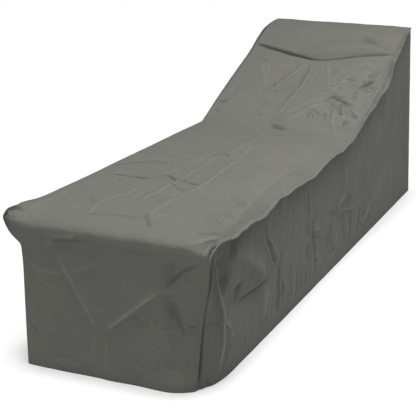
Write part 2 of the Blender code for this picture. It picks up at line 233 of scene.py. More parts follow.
topPanel = {
    "width": 0.62,
    "leftReach": 0.08,  # width of the band that bends down to the left edge
    # y, z: the strip's middle; x, y, z: its left edge, and its right one; then the band that bends to that
    "sections": (
        (-3, 0, -301, 0, 0, 259, 36, 0, 80),  # front hem
        (0, 105, -302, 3, 105, 268, 39, 102, 100),
        (1, 210, -302, 6, 210, 280, 37, 211, 115),
        (0, 320, -302, 9, 320, 304, 27, 325, 120),
        (-4, 400, -304, 8, 385, 316, 14, 392, 105),
        (-13, 444, -329, -14, 437, 321, 9, 418, 80),
        (-12, 461, -337, -28, 483, 324, 12, 433, 80),  # roll, both corner tips
        (3, 479, -332, 0, 507, 324, 26, 446, 80),
        (40, 493, -318, 40, 508, 322, 56, 451, 90),
        (90, 501, -306, 90, 502, 320, 92, 454, 100),  # front of the seat
        (140, 500, -304, 140, 498, 316, 142, 444, 115),
        (270, 495, -303, 270, 493, 312, 270, 422, 120),
        (305, 493, -303, 305, 491, 314, 305, 432, 120),
        (485, 485, -303, 485, 483, 311, 485, 407, 120),
        (566, 482, -303, 566, 480, 314, 566, 426, 120),
        (790, 472, -303, 790, 470, 311, 790, 418, 120),
        (1060, 461, -303, 1060, 459, 311, 1060, 413, 120),
        (1250, 452, -303, 1250, 450, 311, 1250, 414, 120),
        (1285, 451, -303, 1285, 449, 312, 1285, 418, 120),  # foot of the back rest
        (1322, 463, -303, 1322, 461, 313, 1322, 430, 120),
        (1414, 501, -303, 1414, 499, 313, 1414, 461, 120),
        (1560, 556, -303, 1560, 554, 315, 1560, 508, 120),
        (1640, 585, -303, 1640, 583, 316, 1640, 514, 120),
        (1720, 613, -303, 1720, 611, 316, 1720, 534, 120),
        (1780, 635, -303, 1780, 634, 314, 1780, 588, 110),
        (1860, 661, -303, 1860, 672, 312, 1860, 641, 100),
        (1945, 685, -303, 1945, 700, 309, 1945, 683, 90),
        (2050, 705, -303, 2050, 709, 302, 2050, 701, 40),
        (2077, 709, -303, 2077, 709, 299, 2077, 704, 30),  # seam of the back panel
        (2083, 710, -303, 2083, 710, 299, 2083, 705, 30),  # rear top edge
    ),
    # The right edge's own small waves: y, and how much the edge is raised there.
    "edgeWave": (
        (0, 0), (150, 0), (190, -3), (215, 0), (256, 10), (300, 1),
        (348, 3), (372, 1), (436, 6), (485, 17), (536, 17), (587, 9),
        (640, 5), (694, 8), (750, 5), (807, 4), (865, -3), (924, 4),
        (985, 12), (1047, 17), (1111, 17), (1177, 9), (1244, 16), (1312, 13),
        (1382, 10), (1452, 8), (1526, -4), (1600, 14), (1677, 19), (1752, 28),
        (1829, 8), (1909, -6), (2000, 0), (2083, 0),
    ),
    # places in the sections' list, counted from 0
    "cornerSection": 6,
    "seatSection": 10,
    "rearSeamSection": 28,
    # the power by which a band bends, the one right of the seat, and the run over which it changes
    "bandPower": (2.0, 1.5, 0.50, 0.70),
    "waveStart": 0.03,  # run behind the corner over which the edge's waves begin
    # The tuck across the head end: x and y of its line, its trough's depth, the run over which its lip
    # rises, and the lip's height and overhang
    "tuck": (
        (-304, 1818, 0, 10, 0, 0),
        (-280, 1817, 4, 9, 5, 4),
        (-190, 1791, 7, 11, 10, 9),
        (-90, 1760, 7, 15, 12, 9),
        (-50, 1750, 6, 24, 15, 8),
        (-20, 1742, 5, 34, 19, 7),
        (18, 1740, 5, 46, 24, 5),
        (60, 1751, 7, 54, 27, 5),
        (92, 1763, 7, 53, 26, 5),
        (148, 1786, 7, 44, 24, 5),
        (223, 1811, 7, 26, 15, 5),
        (270, 1832, 5, 14, 7, 4),
        (304, 1846, 0, 10, 0, 0),
        (330, 1846, 0, 10, 0, 0),
    ),
    "tuckSpread": 0.22,  # how far from the tuck the rows still follow its line
    "tuckEdge": 0.93,  # part of the half width at which the tuck begins to fade towards the edges
    "troughWidth": 0.007,
    "lipPower": 1.6,
    "lipFade": 0.080,
    "overhangStart": 0.006,
    "overhangFade": 0.050,
    "capDome": 0.016,  # the cloth behind the lip bulges and falls off to its left edge
    "capStart": (0.03, 0.20),  # runs behind the tuck between which the bulge rises
    "capEnd": 0.09,  # run before the rear seam over which it ends
    "capAcross": (-0.303, -0.120, -0.020, 0.250),  # x where it starts, is full, wanes and ends
    # On the seat and the back rest the lines run through points (x, y).
    "softFolds": (
        (22, 6.5, -100, 100, -74, 277, -44, 529, -30, 800),
        (22, 7, 4, 150, 8, 400, 6, 585, -30, 1000),
        (22, 8.5, 90, 100, 100, 443, 78, 750),
        (22, 7, 20, 858, 30, 1168),
        (22, 3.6, 296, 80, 282, 260, 258, 500, 252, 680, 256, 860),
        (22, 10, -10, 1330, 51, 1405, 125, 1478),
        (14, -8, -24, 1308, 10, 1298, 44, 1290),
        (20, 6.5, -21, 1705, -60, 1600, -110, 1490),
        (18, 6, 8, 1700, 14, 1560, -8, 1400),
        (30, -5, -285, 1416, -254, 1428),
        (20, -13, 137, 1960, 180, 1906, 222, 1884, 290, 1862),
        (30, -4.5, 143, 1480, 179, 1490, 248, 1476),
    ),
    "creases": (
        # seat, along it
        (8, 2.2, -95, 42, -105, 143, -70, 268, -57, 379),
        (8, 2.6, 8, 200, 7, 426, 10, 600),
        (8, 2, -78, 504, -49, 731, -50, 832, -28, 877),
        (9, 2.4, 82, 80, 94, 283, 103, 443, 89, 605, 75, 800),
        (8, 1.5, 6, 520, -1, 780),
        (9, 2, 14, 850, 4, 1043, -8, 1260),
        (7, 1.4, 62, 815, 35, 1000),
        (10, 0.8, 284, 240, 260, 480, 253, 680, 257, 860),
        # seat, across it
        (6, -5.6, -296, 545, -254, 612, -191, 674, -130, 672),
        (5, -3.4, -195, 620, -135, 660),
        (6, -5.8, -245, 460, -175, 465, -100, 471),
        (6, -5.2, -85, 516, -39, 497, 14, 462),
        (6, -5.6, 8, 473, 57, 468, 94, 458),
        (8, -2.8, -20, 423, 58, 393, 110, 392),
        (6, -3.6, -190, 816, -132, 826, -70, 834),
        (6, -3.4, -46, 826, -11, 796),
        (6, -4, -18, 847, 16, 831),
        (6, -1, 47, 565, 111, 580, 152, 607),
        (6, -2.8, 62, 112, 90, 75, 120, 36),
        (7, -1.5, -180, 214, -150, 175, -115, 149),
        (8, -2, -120, 62, -61, 66, -2, 80, 70, 72),
        (8, 1.4, -282, 33, -261, 171, -278, 290),
        (6, -2.6, 300, -4, 309, 40, 312, 82),
        (6, 2, 240, -10, 282, 12, 304, 78, 309, 128),
        (7, -1.4, 258, 30, 287, 76, 300, 140),
        # back rest
        (8, 2.4, -22, 1721, -47, 1635, -70, 1563, -98, 1506, -130, 1464),
        (8, 2.4, 3, 1718, 12, 1636, 15, 1549, 1, 1468, -21, 1356),
        (7, 1.4, 53, 1732, 95, 1614, 123, 1538),
        (8, 2.4, -8, 1356, 51, 1424, 108, 1480),
        (8, 2, 22, 1328, 76, 1389, 132, 1457),
        (6, -3, -27, 1311, 10, 1298, 41, 1291),
        (5, -4.4, 140, 1476, 153, 1510, 179, 1494, 216, 1480, 252, 1479),
        (6, -3, 197, 1480, 210, 1430, 228, 1385),
        (8, 2.8, 187, 1440, 209, 1342, 238, 1304),
        (5, -4.2, 232, 1575, 254, 1629, 272, 1682),
        (7, 3.2, 130, 1527, 156, 1582, 184, 1630),
        (6, 2.4, 227, 1628, 244, 1720),
        (7, -3.4, 238, 1455, 288, 1413),
        (7, 1.2, -195, 1704, -146, 1590),
        (7, 1.4, -234, 1712, -175, 1610, -125, 1510),
        (6, -1.6, -119, 1576, -84, 1504),
        (6, -3, 140, 1955, 180, 1903, 222, 1880, 284, 1858),
        (6, -3.4, -286, 1414, -256, 1430),
    ),
    # On the front the lines run through points (x, z).
    "frontSoftFolds": (
        (24, 5, -171, 375, -100, 250, -48, 152),
        (24, 6.5, -16, 160, 97, 260, 160, 312),
        (20, -9, 214, 435, 206, 389, 190, 320),
        (26, -15, 192, 310, 203, 30),
        (18, 4, 176, 430, 163, 380, 158, 330),
        (18, 5.5, 208, 303, 226, 263, 250, 224, 268, 160),
        (18, -4, 189, 294, 206, 241, 228, 190),
    ),
    "frontCreases": (
        (7, 2.4, -172, 377, -140, 324, -97, 246, -66, 194, -48, 152),
        (7, 3.4, -18, 162, 36, 208, 97, 260, 138, 295, 166, 314),
        (6, -2.4, 176, 326, 203, 355, 236, 387, 261, 403, 300, 424),
        (6, 1.8, -285, 368, -258, 327, -237, 321, -196, 317, -154, 314),
        (6, 1.4, -150, 315, -130, 328, -71, 349, -40, 370),
        (6, 1.4, -260, 327, -232, 289, -203, 258),
        (5, 1.4, -93, 358, -72, 345),
        (7, 1.2, -62, 135, -66, 46),
        (7, 1.4, -18, 140, -24, 18),
        (7, 1.2, 172, 172, 196, 100),
        (5, -1.2, 160, 192, 198, 203),
        (5, -2.2, 240, 211, 272, 214),
        (5, 1.6, -202, 434, -92, 449),
        (5, -1.8, -195, 427, -130, 433, -59, 442),
        (4, 1.8, -213, 413, -178, 421),
        (5, -1.4, 65, 430, 136, 426),
        (7, -2, 196, 262, 222, 205, 236, 160),
    ),
    # the grid's cells, and each close-up's from, to and finer cells
    "rowCell": 0.0085,
    "rowCloseUps": ((0.0, 0.54, 0.0050), (0.86, 1.36, 0.0062), (1.76, 2.20, 0.0058), (2.215, 2.285, 0.0030)),
    "columnCell": 0.0065,
    "columnCloseUps": ((0, 0.016, 0.0022), (0.2, 0.42, 0.0044), (0.43, 0.6, 0.0048), (0.602, 0.62, 0.0017)),
    "foldEdge": 0.90,  # part of the half width at which folds begin to fade towards the edges
    "cornerBlend": (-0.02, 0.05),  # run from the corner over which the front's folds give way to the seat's
    "hemFade": 0.03,  # run over which the hem's height gives way to the folds
    "crumpleSeed": 1,
    "wrinkleSeed": 11,
    "frontWrinkleSeed": 12,
    # Small wrinkles laid out by chance: their number, x from and to, y or z from and to, the largest height
    "wrinkles": (
        (64, 90, 290, 1330, 1740, 3),
        (20, -270, -60, 1340, 1720, 1.5),
        (30, 140, 280, 150, 1250, 1.7),
        (30, -250, 120, 60, 1200, 1.4),
        (6, -200, 260, 1870, 2040, 0.6),
    ),
    "frontWrinkles": ((40, -270, 250, 40, 420, 1.3),),
}

# Along the right edge run a groove and, outside it, the seam allowance that stands up as a flange. Both are
# strongest along the back rest. The left edge and the right corner have grooves where the seam is pulled in.
edge = {
    "slope": (1.80, 1.92, -0.12, -0.02),  # the back rest's run: start, full; wane and end by the rear seam
    "pastCorner": (0.52, 0.62),  # run over which they begin
    "seatStrength": 0.25,  # their height along the seat, as a part of the back rest's
    "uneven": (0.45, 0.25),  # parts by which it varies
    "unevenTurns": (61.0, 23.0, 143.0),  # radians per metre of the sines that vary it
    "unevenShift": 1.0,
    "flangeHeight": 0.0110,
    "flangeWidth": 0.0180,
    "flangeNarrow": (0.55, 2.10, 2.25),  # part of the width up to the run over which it widens
    "groove": (0.0040, 0.0024),  # depth and half width
    "leftGroove": (-0.0090, 0.0080, 0.0045),  # height, distance from the edge and half width
    "leftRuns": ((0.44, 0.47, 0.51, 0.56), (1.80, 1.92, 2.50, 2.58)),
    "cornerGroove": (-0.0140, 0.0065, 0.0026, 0.034, 0.032),  # the same, then run past the corner and length
    "cornerTurn": (0.0050, 0.0025),  # how far the edge turns in before the seat, and over which distance
    "rearTurn": (0.0055, 0.10),  # how far it turns in at the rear seam, and over which run
}

sections = inMetres(topPanel["sections"])
sectionAt = np.concatenate([[0.0], np.cumsum(np.hypot(*np.diff(sections[:, :2], axis=0).T))])
cornerAt = sectionAt[topPanel["cornerSection"]]
rearSeamAt = sectionAt[topPanel["rearSeamSection"]]
tuck = inMetres(topPanel["tuck"])
edgeWave = inMetres(topPanel["edgeWave"])
tuckMiddle = tuck[:, 1].min()
seat = topPanel["seatSection"]
tuckAt = np.interp(tuckMiddle, sections[seat:, 0], sectionAt[seat:])
seamAcross = 1.0 - 2.0 * cloth["seamLip"] / topPanel["width"]


def stripSurface(run, across):
    # The middle line and both edges come from the sections at this run of cloth. x goes straight from edge
    # to edge. y and z leave the middle's by the square of the share of the edge's band, and on the right of
    # the seat and the back rest by a lower power of it, which is flatter.
    share = (across + 1.0) / 2.0
    straight = smoothTable(sectionAt, sections, run)
    x = straight[..., 2] * (1.0 - share) + straight[..., 5] * share
    tuckHere = smoothTable(tuck[:, 0], tuck[:, 1:], x)
    follow = bell(run - tuckAt, topPanel["tuckSpread"]) * softStep(rearSeamAt, tuckAt, run)
    bent = smoothTable(sectionAt, sections, run + (tuckHere[..., 0] - tuckMiddle) * follow)
    y, z, leftX, leftY, leftZ, rightX, rightY, rightZ, reach = np.moveaxis(bent, -1, 0)
    waves = smoothTable(edgeWave[:, 0], edgeWave[:, 1:], y)[..., 0]
    rightZ = rightZ + waves * softStep(0.0, topPanel["waveStart"], run - cornerAt)
    x = leftX * (1.0 - share) + rightX * share
    frontPower, seatPower, powerFrom, powerTo = topPanel["bandPower"]
    power = frontPower + (seatPower - frontPower) * softStep(powerFrom, powerTo, run)
    left = np.clip(1.0 - (x - leftX) / topPanel["leftReach"], 0.0, 1.0) ** frontPower
    right = np.clip(1.0 - (rightX - x) / reach, 0.0, 1.0) ** power
    y = y + (leftY - y) * left + (rightY - y) * right
    z = z + (leftZ - z) * left + (rightZ - z) * right

    # The tuck: the cloth sinks into a narrow trough, then rises through the lip, whose foot leans over it.
    _, depth, rise, lip, overhang = np.moveaxis(tuckHere, -1, 0)
    free = softStep(1.0, topPanel["tuckEdge"], np.abs(across))
    past = run - tuckAt
    sinking = -depth * np.exp(-np.abs(past) / topPanel["troughWidth"])
    rising = 1.0 - (1.0 - np.clip(past / rise, 0.0, 1.0)) ** topPanel["lipPower"]
    fading = bell(np.clip(past - rise, 0.0, None), topPanel["lipFade"])
    risen = rising * (depth + lip) * fading + depth * rising * (1.0 - fading) - depth
    z = z + np.where(past < 0.0, sinking, risen) * free
    start = topPanel["overhangStart"]
    leaning = softStep(0.0, start, past) * bell(np.clip(past - start, 0.0, None), topPanel["overhangFade"])
    y = y - overhang * leaning * free
    capFrom, capFull = topPanel["capStart"]
    cap = between(tuckAt + capFrom, tuckAt + capFull, rearSeamAt - topPanel["capEnd"], rearSeamAt, run)
    z = z + topPanel["capDome"] * cap * between(*topPanel["capAcross"], x)
    return np.stack([x, y, z], axis=-1)


def underStrip(run, across, step=0.002):
    # a point of the strip moved inwards along its normal by the cloth's thickness and the seam's clearance,
    # and by up to one more thickness where the normal leans sideways
    along = stripSurface(run + step, across) - stripSurface(run - step, across)
    aside = stripSurface(run, across + step) - stripSurface(run, across - step)
    outward = np.cross(aside, along)
    outward = outward / np.linalg.norm(outward, axis=-1, keepdims=True)
    leaning = np.clip(-outward[..., :1] * np.sign(across)[..., None], 0.0, 1.0)
    return stripSurface(run, across) - outward * (cloth["thickness"] * (1.0 + leaning) + cloth["seamGap"])


def edgeHeight(run, fromLeft, fromRight):
    # the right edge's flange, straight down to its foot, and its groove, e to the minus of the distance from
    # there, both * their strength; then the grooves of the left edge and the right corner
    start, full, wane, end = edge["slope"]
    onSlope = between(start, full, rearSeamAt + wane, rearSeamAt + end, run)
    pastCorner = softStep(*edge["pastCorner"], run)
    quick, slow, small = edge["unevenTurns"]
    uneven = 1.0 + edge["uneven"][0] * np.sin(run * quick) * np.sin(run * slow + edge["unevenShift"])
    uneven = uneven + edge["uneven"][1] * np.sin(run * small)
    strength = (edge["seatStrength"] + (1.0 - edge["seatStrength"]) * onSlope) * pastCorner * uneven
    narrow, narrowTo, wideFrom = edge["flangeNarrow"]
    wide = edge["flangeWidth"] * (narrow + (1.0 - narrow) * softStep(narrowTo, wideFrom, run))
    flange = edge["flangeHeight"] * np.clip(1.0 - fromRight / wide, 0.0, 1.0)
    depth, width = edge["groove"]
    groove = -depth * np.exp(-np.abs(fromRight - wide) / width)
    along = sum(between(*runs, run) for runs in edge["leftRuns"])
    leftGroove = ridge(fromLeft, *edge["leftGroove"]) * along
    *measures, past, length = edge["cornerGroove"]
    cornerGroove = ridge(fromRight, *measures) * bell(run - cornerAt - past, length)
    depth, width = edge["cornerTurn"]
    cornerTurn = -depth * np.exp(-fromRight / width) * (1.0 - pastCorner)
    return (flange + groove) * strength + leftGroove + cornerGroove + cornerTurn


def topPanelPoints():
    # the strip's surface moved along its normals by the folds, creases and crumple and by the edges' height
    runs = gridLines(sectionAt[-1], topPanel["rowCell"], topPanel["rowCloseUps"])
    places = gridLines(topPanel["width"], topPanel["columnCell"], topPanel["columnCloseUps"])
    half = topPanel["width"] / 2.0
    run, side = np.meshgrid(runs, places / half - 1.0, indexing="ij")
    base = stripSurface(run, side)
    x, y, z = np.moveaxis(base, -1, 0)
    free = softStep(1.0, topPanel["foldEdge"], np.abs(side))
    blendFrom, blendTo = topPanel["cornerBlend"]
    onTop = softStep(cornerAt + blendFrom, cornerAt + blendTo, run)
    onFront = 1.0 - onTop
    wrinkled = [*topPanel["creases"], *chanceWrinkles(topPanel["wrinkles"], topPanel["wrinkleSeed"])]
    frontChance = chanceWrinkles(topPanel["frontWrinkles"], topPanel["frontWrinkleSeed"])
    crispTop, lineTop = creaseHeight(x, y, wrinkled)
    crispFront, lineFront = creaseHeight(x, z, [*topPanel["frontCreases"], *frontChance])
    soft = foldHeight(x, y, topPanel["softFolds"]) * onTop
    soft = soft + foldHeight(x, z, topPanel["frontSoftFolds"]) * onFront
    crisp = crispTop * onTop + crispFront * onFront
    line = np.where(onTop[..., None] > 0.5, lineTop, lineFront)
    line[..., 1] *= free * np.abs(onTop - onFront)
    small = crumpleHeight(x, run, topPanel["crumpleSeed"])
    height = (soft + crisp + small) * free + edgeHeight(run, (1.0 + side) * half, (1.0 - side) * half)
    points = base + outwardOf(base) * height[..., None]
    turnIn, turnRun = edge["rearTurn"]
    nearRear = softStep(rearSeamAt - turnRun, rearSeamAt, run)
    points[..., 0] -= turnIn * softStep(seamAcross, 1.0, side) * nearRear
    hemFree = softStep(0.0, topPanel["hemFade"], run)[..., None]
    points[..., 2:] = base[..., 2:] * (1.0 - hemFree) + points[..., 2:] * hemFree
    return points, np.stack([side * half, run], axis=-1), line


sidePanel = {
    "waist": 0.013,  # the side panels are drawn in, most at half height
    "waistPower": 1.3,
    "waistStart": 0.05,  # part of the panel's length over which that begins
    "undercut": 0.024,  # and sink in just below the seam, down to about underReach
    "underReach": 0.095,
    "underSharpness": 0.007,
    "underStart": (0.010, 0.028),  # parts of the length where it begins and is full
    "tipMore": (0.6, 0.16),  # part by which both are larger at the front corner, and its reach
    "rearFade": 0.96,  # part of the length from which the panel comes back out to the rear corner
    "foldEnds": (0.0, 0.02, 0.985, 1.0),  # parts of the length where folds start, are full, wane and end
    "foldTop": 0.85,  # part of the height from which folds fade
    "hemFold": (0.25, 0.07),  # part of the folds' height at the hem, and the height where they are full
    "seamRidge": (0.013, 0.027, 0.007),  # a thin ridge beside the corner seam: height, distance, half width
    "ridgeFoot": 0.3,  # part of its height low down
    "seamValley": (0.015, 0.013, 0.0050),  # and nearer the seam lies a valley: depth, distance, half width
    "valleyMore": 0.007,  # it is deeper high up
    "high": (0.60, 0.75, 0.97, 1.0),  # parts of the height where high up starts, is full, wanes and ends
    "seamTop": 0.98,  # part of the height from which ridge and valley fade
    "valleyFoot": 0.15,  # part of the height over which the valley begins
    "rearY": 2.080,
    "cornerReach": 0.13,  # over which the front seam's own shape fades
    "rows": 0.0070,
    "rowCloseUps": ((0.0, 0.03, 0.0050),),
    "columns": 0.0038,
    "columnCloseUps": ((0.0, 0.05, 0.0024), (0.0, 0.12, 0.0032)),
    # hem line behind the foot of the corner seam: y, x
    "rightHem": ((64, 266), (86, 282), (115, 291), (153, 297), (202, 300), (2080, 307)),
    "leftHem": ((200, -299), (2080, -303)),
    # On the sides the lines run through points (y, z).
    "rightSoftFolds": (
        (20, 11, 52, 402, 78, 352, 110, 261, 134, 180),
        (20, 15, 162, 185, 155, 109, 136, 15),
        (34, 17, 175, 401, 262, 347, 370, 272, 434, 214),
        (38, -26, 92, 405, 118, 335, 165, 280),
        (22, 6, 165, 150, 150, 80),
        (40, -11, 205, 250, 260, 225),
        (30, -8, 208, 200, 495, 172),
        (55, -11, 559, 190, 575, 185),
        (55, -11, 878, 195, 905, 195),
        (55, -11, 1160, 185, 1300, 165),
        (30, 6, 1209, 360, 1192, 253, 1149, 215),
        (28, 6, 484, 171, 450, 120, 417, 60),
        (30, 5, 1676, 190, 1588, 130, 1453, 70),
    ),
    "rightCreases": (
        (9, 6, 40, 425, 74, 352, 106, 261, 132, 171, 126, 109, 105, 20),
        (8, 3, 136, 193, 180, 142, 212, 96),
        (8, -3, 291, 262, 200, 239, 165, 212),
        (8, -3.2, 490, 188, 377, 196, 250, 203),
        (6, -3, 455, 345, 501, 284, 546, 212),
        (8, 2.4, 432, 352, 484, 274, 530, 214),
        (8, 2.6, 484, 338, 579, 210),
        (8, 2.2, 468, 392, 484, 331),
        (8, 2.2, 721, 360, 685, 317, 640, 270, 623, 215),
        (8, -1.8, 745, 350, 705, 300, 660, 250),
        (9, 4, 1209, 380, 1192, 253, 1149, 228, 1139, 204, 1163, 173),
        (8, 3, 1139, 204, 1242, 179, 1320, 162),
        (8, -2.4, 1045, 226, 1139, 204),
        (8, 3, 843, 385, 855, 286, 857, 223, 878, 187),
        (7, 2.6, 887, 213, 972, 200),
        (5, -2.6, 870, 194, 974, 162),
        (9, 3.4, 1680, 176, 1588, 130, 1500, 104, 1400, 34),
        (8, -2.6, 1630, 142, 1550, 113, 1485, 76),
        (8, 1.8, 1757, 190, 1822, 130),
        (5, -1.8, 30, 208, 80, 200, 148, 176),
        # the pinch where four creases meet
        (5, -1.8, 862, 213, 830, 240, 810, 285),
        (5, 1.8, 862, 213, 905, 232, 950, 228),
        (6, 2.2, 862, 213, 815, 200, 775, 196),
        # pleats under the pinched line
        (8, 3.6, 486, 175, 450, 133, 410, 66),
        (7, 2.6, 562, 165, 550, 75),
        (7, 2.2, 590, 174, 577, 70),
        (7, -2.6, 626, 158, 595, 66),
        (7, 2.6, 709, 110, 698, 63, 668, 38),
        (7, -2.6, 738, 100, 727, 20),
        (7, -3, 796, 140, 763, 36),
        (7, 2.2, 727, 160, 695, 110),
        (7, 2.4, 836, 140, 808, 80),
        (7, -2.6, 852, 190, 815, 130),
        (8, 4.2, 878, 184, 871, 108, 863, 18),
        (7, -3.6, 900, 178, 911, 93, 904, 6),
        (7, 2.2, 930, 160, 946, 40),
        (7, -3.4, 1090, 180, 1056, 125, 1030, 80),
        (8, 3.2, 1122, 160, 1113, 66, 1080, 24),
        (8, 3, 1167, 160, 1157, 90, 1130, 45),
        (7, -3.6, 1246, 170, 1224, 98, 1200, 40),
        (7, 2.6, 1269, 160, 1256, 76),
        (7, -3.2, 1317, 158, 1294, 82, 1258, 24),
        (8, 2.4, 1355, 110, 1330, 18),
        (8, 2.4, 1454, 85, 1402, 28),
        (7, -2.2, 1528, 75, 1534, 9),
        (9, 1.8, 313, 100, 301, 40),
        (8, 1.8, 386, 80, 356, 26),
    ),
    "leftSoftFolds": (
        (55, 7.5, 300, 400, 420, 20),
        (65, -7.5, 820, 380, 760, 20),
        (65, 7.5, 1350, 400, 1400, 20),
        (65, -7.5, 1800, 500, 1760, 20),
    ),
    "leftCreases": (
        (10, 4, 70, 395, 110, 300, 140, 170, 120, 20),
        (9, 2.6, 240, 380, 330, 270, 400, 190),
        (8, -2.8, 520, 370, 560, 280, 570, 200),
        (8, 3, 840, 390, 800, 290, 790, 190),
        (8, -2.6, 1060, 360, 1120, 270, 1130, 180),
        (9, 3, 1300, 390, 1270, 280, 1220, 180),
        (9, 2.8, 1640, 440, 1600, 300, 1520, 180),
        (10, -3, 1900, 560, 1860, 400, 1800, 240),
    ),
    "rightSeed": 2,
    "leftSeed": 3,
}

# Small pleats under the pinched line of each side, laid out by chance: from and to, in millimetres
pleats = {
    "count": 54,
    "y": (460, 1560),
    "top": (90, 190),
    "foot": (15, 60),
    "lean": (5, 35),  # how far the foot is in front of the top
    "height": (1.4, 3.2),
    "width": (4, 7),
}


def chancePleats(seed):
    # short upright creases at random places, leaning forward a little
    random = np.random.default_rng(seed)
    creases = []
    for middle in np.sort(random.uniform(*pleats["y"], pleats["count"])):
        top = random.uniform(*pleats["top"])
        lean = random.uniform(*pleats["lean"])
        rise = random.choice([-1.0, 1.0]) * random.uniform(*pleats["height"])
        foot = random.uniform(*pleats["foot"])
        width = random.uniform(*pleats["width"])
        creases.append((width, rise, middle, top, middle - lean, foot))
    return creases


def drawnInBy(wall, top, share, up):
    # How far the wall sinks in under the seam and is drawn in at half height: waist * a power of the sine of
    # the height, and undercut * a sharp rise below the seam * a bell that falls further down.
    more, reach = sidePanel["tipMore"]
    more = 1.0 + more * bell(wall[..., 1] - wall[0, 0, 1], reach)
    below = top[None, :, 2] - wall[..., 2]
    under = 1.0 - np.exp(-below / sidePanel["underSharpness"])
    under = under * bell(below, sidePanel["underReach"] * more)
    waist = sidePanel["waist"] * np.sin(np.pi * up) ** sidePanel["waistPower"]
    waist = waist * softStep(0.0, sidePanel["waistStart"], share)
    undercut = sidePanel["undercut"] * more * under * softStep(*sidePanel["underStart"], share)
    return (waist + undercut) * softStep(1.0, sidePanel["rearFade"], share)


def cornerSeamHeight(fromSeam, up):
    # a ridge and a valley beside the corner seam: bells of the distance from the seam, stronger high up
    high = between(*sidePanel["high"], up)
    topFade = softStep(1.0, sidePanel["seamTop"], up)
    foot = sidePanel["ridgeFoot"]
    raised = ridge(fromSeam, *sidePanel["seamRidge"]) * (foot + (1.0 - foot) * high) * topFade
    depth, middle, width = sidePanel["seamValley"]
    valley = -(depth + sidePanel["valleyMore"] * high) * bell(fromSeam - middle, width)
    return raised + valley * softStep(0.0, sidePanel["valleyFoot"], up) * topFade


def sidePanelPoints(sign, hemTable, softFolds, creases, seed):
    # Straight lines rise from the hem to the top seam. The front seam's shape is added and fades behind it.
    # Then the wall moves along its level normals by the folds, creases, crumple and corner seam - drawnIn.
    ups = gridLines(cornerAt, sidePanel["rows"], sidePanel["rowCloseUps"])
    runs = cornerAt + gridLines(rearSeamAt - cornerAt, sidePanel["columns"], sidePanel["columnCloseUps"])
    seam = sign * seamAcross
    front = underStrip(ups, np.full_like(ups, seam))
    top = underStrip(runs, np.full_like(runs, seam))
    front[0, 2] = 0.0
    share = (top[:, 1] - top[0, 1]) / (top[-1, 1] - top[0, 1])
    hemY = front[0, 1] + (sidePanel["rearY"] - front[0, 1]) * share
    hemKeys = np.array([(front[0, 1], front[0, 0]), *inMetres(hemTable)])
    hemX = smoothTable(hemKeys[:, 0], hemKeys[:, 1:], hemY)[..., 0]
    hem = np.stack([hemX, hemY, np.zeros_like(hemY)], axis=-1)

    up = (front[:, 2] / front[-1, 2])[:, None]
    wall = hem[None] * (1.0 - up[..., None]) + top[None] * up[..., None]
    bow = front - front[0] * (1.0 - up) - front[-1] * up
    wall = wall + bow[:, None] * bell(top[:, 1] - top[0, 1], sidePanel["cornerReach"])[None, :, None]
    drawnIn = drawnInBy(wall, top, share, up)
    outward = outwardOf(wall) * sign
    outward[..., 2] = 0.0
    outward = outward / np.linalg.norm(outward, axis=-1, keepdims=True)
    outward = outward * np.sign(outward[..., :1] * sign + 1e-9)

    # The lines were read from the photograph as if the wall were flat. A drawn-in point uses the flat wall's
    # place on its own line of sight: it is moved by drawnIn * (sight / (sight . outward) - outward).
    sight = wall - (np.array(view["place"]) + cloth["origin"]) * (sign, 1.0, 1.0)
    facing = np.sum(sight * outward, axis=-1, keepdims=True)
    seen = wall + drawnIn[..., None] * (sight / facing - outward)
    free = between(*sidePanel["foldEnds"], share) * softStep(1.0, sidePanel["foldTop"], up)
    atHem, fullAt = sidePanel["hemFold"]
    free = free * (atHem + (1.0 - atHem) * softStep(0.0, fullAt, wall[..., 2]))
    soft = foldHeight(seen[..., 1], seen[..., 2], softFolds)
    crisp, line = creaseHeight(seen[..., 1], seen[..., 2], [*creases, *chancePleats(seed)])
    line[..., 1] *= free
    small = crumpleHeight(wall[..., 1], wall[..., 2], seed)
    cornerSeam = cornerSeamHeight(wall[..., 1] - front[:, 1:2], up)
    height = (soft + crisp + small) * free - drawnIn + cornerSeam
    points = wall + outward * height[..., None]
    lengths = np.concatenate([[0.0], np.cumsum(np.linalg.norm(np.diff(hem, axis=0), axis=1))])
    places = np.stack([np.broadcast_to(lengths, wall.shape[:2]), wall[..., 2]], axis=-1)
    return points, places, line


backPanel = {
    "columns": 0.0085,
    "foldEnds": (0.0, 0.06, 0.94, 1.0),  # parts of the width where folds start, are full, wane and end
    "foldTop": 0.93,  # part of the height from which they fade
    "seed": 5,
    "softFolds": (
        (50, -7, -120, 600, -150, 20),
        (50, 6, 100, 620, 80, 20),
    ),
    "creases": (
        (10, 2.4, -230, 640, -190, 450, -200, 250),
        (10, 2.6, 240, 640, 180, 500, 170, 330),
        (9, -2.2, 20, 660, 0, 500),
        (10, 2, -60, 180, -50, 30),
        (10, -2.2, 150, 210, 190, 40),
    ),
}


def backPanelPoints(leftWall, rightWall):
    # straight lines from one side panel's rear edge to the other's, with folds along y
    inset = np.array([cloth["thickness"] + cloth["seamGap"], 0.0, 0.0])
    left, right = leftWall[:, -1] + inset, rightWall[:, -1] - inset
    places = gridLines(right[0, 0] - left[0, 0], backPanel["columns"])
    share = (places / places[-1])[None, :, None]
    wall = right[:, None] * (1.0 - share) + left[:, None] * share
    x, z = wall[..., 0], wall[..., 2]
    free = between(*backPanel["foldEnds"], share[..., 0]) * softStep(1.0, backPanel["foldTop"], z / z[-1, 0])
    crisp, line = creaseHeight(x, z, backPanel["creases"])
    line[..., 1] *= free
    height = foldHeight(x, z, backPanel["softFolds"]) + crisp + crumpleHeight(x, z, backPanel["seed"])
    wall[..., 1] = wall[..., 1] + height * free
    return wall, np.stack([x, z], axis=-1), line


